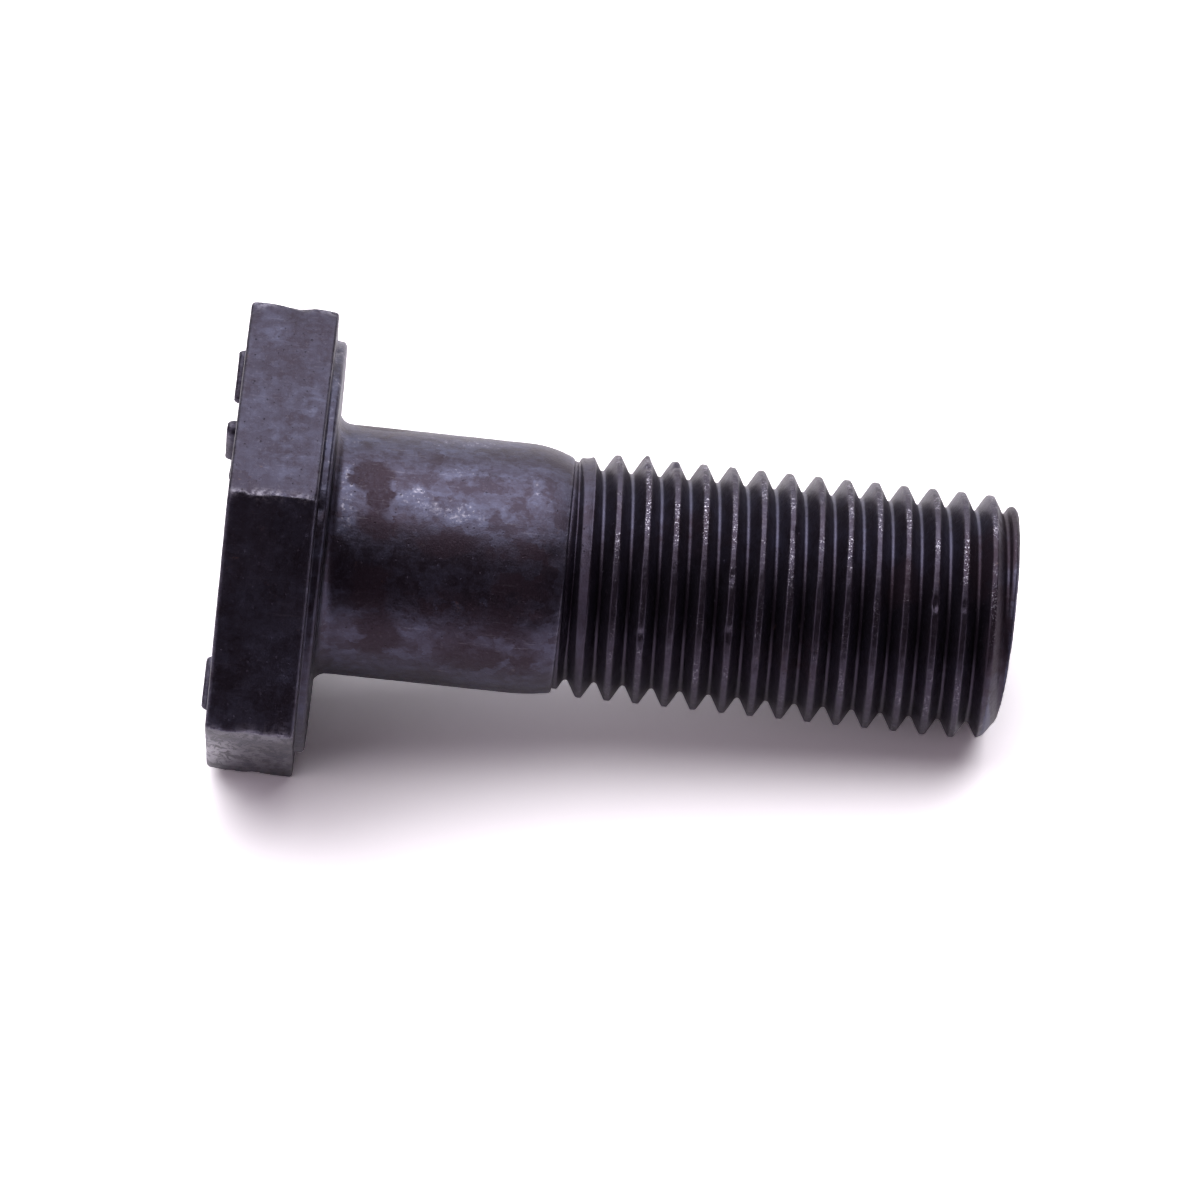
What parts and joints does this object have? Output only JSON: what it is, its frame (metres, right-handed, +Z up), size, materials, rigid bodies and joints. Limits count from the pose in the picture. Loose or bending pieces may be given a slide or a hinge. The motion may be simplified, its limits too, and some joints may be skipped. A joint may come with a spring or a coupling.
{
  "type": "flywheel bolt",
  "caption": "Short hexagon-head bolt with a thin washer face under a low head, a plain shank and a fine right-hand thread to a chamfered point.",
  "frame": {"origin": "centre of the bounding box on the floor that the bolt lies on", "axes": "+X from the head to the tip, along the longest extent, +Z up from the floor, along the shortest extent. The bolt's own axis lies in the XZ plane and dips 7.98 degrees towards the tip"},
  "size_m": [0.0362, 0.022, 0.0194],
  "materials": {
    "black_oxide_steel": "dark chemical black on forged and rolled steel, semi-gloss, mottled and lightly rusted with use"
  },
  "bodies": {
    "root": {"flywheel_bolt": "black_oxide_steel"}
  },
  "joints": []
}
